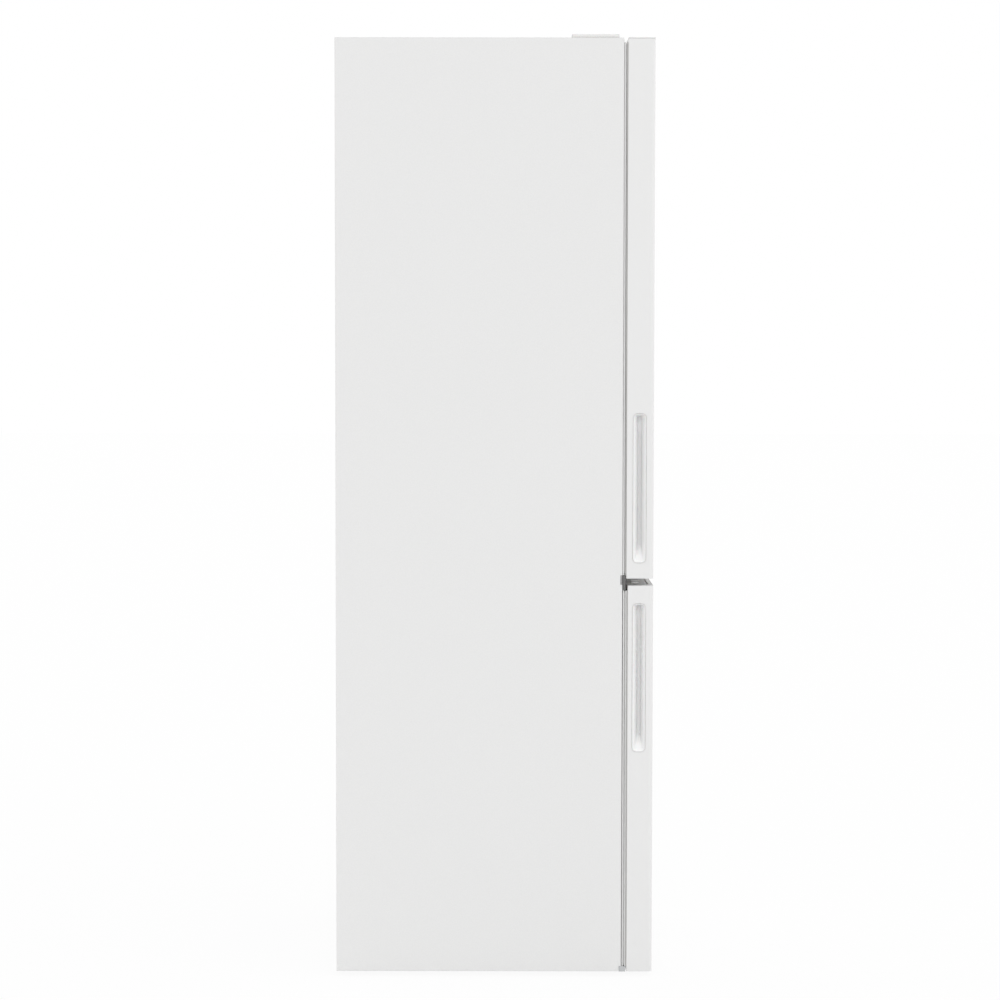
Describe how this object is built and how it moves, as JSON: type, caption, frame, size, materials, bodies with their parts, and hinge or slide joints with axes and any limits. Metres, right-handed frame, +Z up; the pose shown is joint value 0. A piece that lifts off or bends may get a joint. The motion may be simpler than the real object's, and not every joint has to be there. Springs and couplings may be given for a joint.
{
  "type": "bottom freezer refrigerator",
  "caption": "Tall white refrigerator with the freezer below, a door over each compartment, scooped finger grips in the door sides, and shelves, bins and drawers inside",
  "frame": {"origin": "on the floor, under the middle of the appliance's outer box", "axes": "+Z up, -Y out of the doors, +X to the right of somebody who faces the doors, which is the hinge side"},
  "size_m": [0.595, 0.635, 1.884],
  "materials": {
    "cabinet_paint": "satin",
    "door_paint": "satin",
    "zinc_sheet": "satin",
    "hinge_steel": "satin",
    "white_trim": "satin",
    "liner": "gloss",
    "foam": "matte",
    "seal_rubber": "matte",
    "clear_plastic": "gloss",
    "shelf_glass": "polished",
    "lamp_lens": "satin",
    "black_paint": "satin",
    "fin_aluminium": "satin",
    "grey_plastic": "matte",
    "black_rubber": "matte"
  },
  "bodies": {
    "cabinet": {"outer_wrapper": "cabinet_paint", "back_panel": "zinc_sheet", "base_plate": "zinc_sheet", "bottom_rail": "zinc_sheet", "mullion_trim": "cabinet_paint", "cabinet_foam": "foam", "fridge_liner": "liner", "freezer_liner": "liner", "top_hinge": "hinge_steel", "mid_hinge": "hinge_steel", "bottom_hinge": "hinge_steel", "top_hinge_cover": "white_trim", "blank_hinge_cover": "white_trim", "compressor": "black_paint", "compressor_plate": "zinc_sheet", "condenser": "black_paint", "drain_pan": "grey_plastic", "machine_room_cover": "zinc_sheet", "inlet_gland": "black_rubber", "evaporator": "fin_aluminium", "air_cover": "white_trim", "fan_motor": "grey_plastic", "air_duct": "white_trim", "control_housing": "white_trim", "lamp_lens": "lamp_lens", "shelf_1_glass": "shelf_glass", "shelf_1_frame": "white_trim", "shelf_2_glass": "shelf_glass", "shelf_2_frame": "white_trim", "crisper_cover_glass": "shelf_glass", "crisper_cover_frame": "white_trim"},
    "air_fan": {"fan": "grey_plastic"},
    "setting_knob": {"control_knob": "white_trim"},
    "left_roller": {"rear_roller_left": "grey_plastic"},
    "right_roller": {"rear_roller_right": "grey_plastic"},
    "left_foot": {"levelling_foot_left": "grey_plastic"},
    "right_foot": {"levelling_foot_right": "grey_plastic"},
    "crisper": {"crisper_drawer": "clear_plastic"},
    "low_drawer": {"low_freezer_drawer": "clear_plastic"},
    "middle_drawer": {"middle_freezer_drawer": "clear_plastic"},
    "high_drawer": {"high_freezer_drawer": "clear_plastic"},
    "upper_door": {"upper_door_skin": "door_paint", "upper_door_foam": "foam", "upper_door_liner": "liner", "upper_door_top_cap": "white_trim", "upper_door_bottom_cap": "white_trim", "upper_door_seal": "seal_rubber", "upper_door_grip_left": "white_trim", "upper_door_grip_right": "white_trim", "door_bin_1": "clear_plastic", "door_bin_2": "clear_plastic", "door_bin_3": "clear_plastic"},
    "lower_door": {"lower_door_skin": "door_paint", "lower_door_foam": "foam", "lower_door_liner": "liner", "lower_door_top_cap": "white_trim", "lower_door_bottom_cap": "white_trim", "lower_door_seal": "seal_rubber", "lower_door_grip_left": "white_trim", "lower_door_grip_right": "white_trim"}
  },
  "joints": [
    {"name": "upper_door_hinge", "type": "hinge", "parent": "cabinet", "child": "upper_door", "pos_m": [0.2835, -0.281, 1.34], "axis": [0, 0, 1], "range_deg": [0, 120]},
    {"name": "lower_door_hinge", "type": "hinge", "parent": "cabinet", "child": "lower_door", "pos_m": [0.2835, -0.281, 0.4], "axis": [0, 0, 1], "range_deg": [0, 120]},
    {"name": "crisper_slide", "type": "slide", "parent": "cabinet", "child": "crisper", "axis": [0, -1, 0], "range_m": [0, 0.3]},
    {"name": "low_drawer_slide", "type": "slide", "parent": "cabinet", "child": "low_drawer", "axis": [0, -1, 0], "range_m": [0, 0.2]},
    {"name": "middle_drawer_slide", "type": "slide", "parent": "cabinet", "child": "middle_drawer", "axis": [0, -1, 0], "range_m": [0, 0.3]},
    {"name": "high_drawer_slide", "type": "slide", "parent": "cabinet", "child": "high_drawer", "axis": [0, -1, 0], "range_m": [0, 0.3]},
    {"name": "setting_knob_turn", "type": "hinge", "parent": "cabinet", "child": "setting_knob", "pos_m": [0.078, -0.135, 1.7977], "axis": [0, -1, 0], "range_deg": [0, 300]},
    {"name": "fan_spin", "type": "hinge", "parent": "cabinet", "child": "air_fan", "pos_m": [0, 0.183, 0.676], "axis": [0, -1, 0], "continuous": true},
    {"name": "left_roller_spin", "type": "hinge", "parent": "cabinet", "child": "left_roller", "pos_m": [-0.24, 0.272, 0.016], "axis": [1, 0, 0], "continuous": true},
    {"name": "right_roller_spin", "type": "hinge", "parent": "cabinet", "child": "right_roller", "pos_m": [0.24, 0.272, 0.016], "axis": [1, 0, 0], "continuous": true},
    {"name": "left_foot_turn", "type": "hinge", "parent": "cabinet", "child": "left_foot", "pos_m": [-0.24, -0.224, 0.015], "axis": [0, 0, 1], "continuous": true},
    {"name": "right_foot_turn", "type": "hinge", "parent": "cabinet", "child": "right_foot", "pos_m": [0.24, -0.224, 0.015], "axis": [0, 0, 1], "continuous": true}
  ],
  "couplings": [
    {"joint": "crisper_slide", "follows": "upper_door_hinge", "m_per_rad": 0.08},
    {"joint": "low_drawer_slide", "follows": "lower_door_hinge", "m_per_rad": 0.07},
    {"joint": "middle_drawer_slide", "follows": "lower_door_hinge", "m_per_rad": 0.07},
    {"joint": "high_drawer_slide", "follows": "lower_door_hinge", "m_per_rad": 0.07}
  ]
}
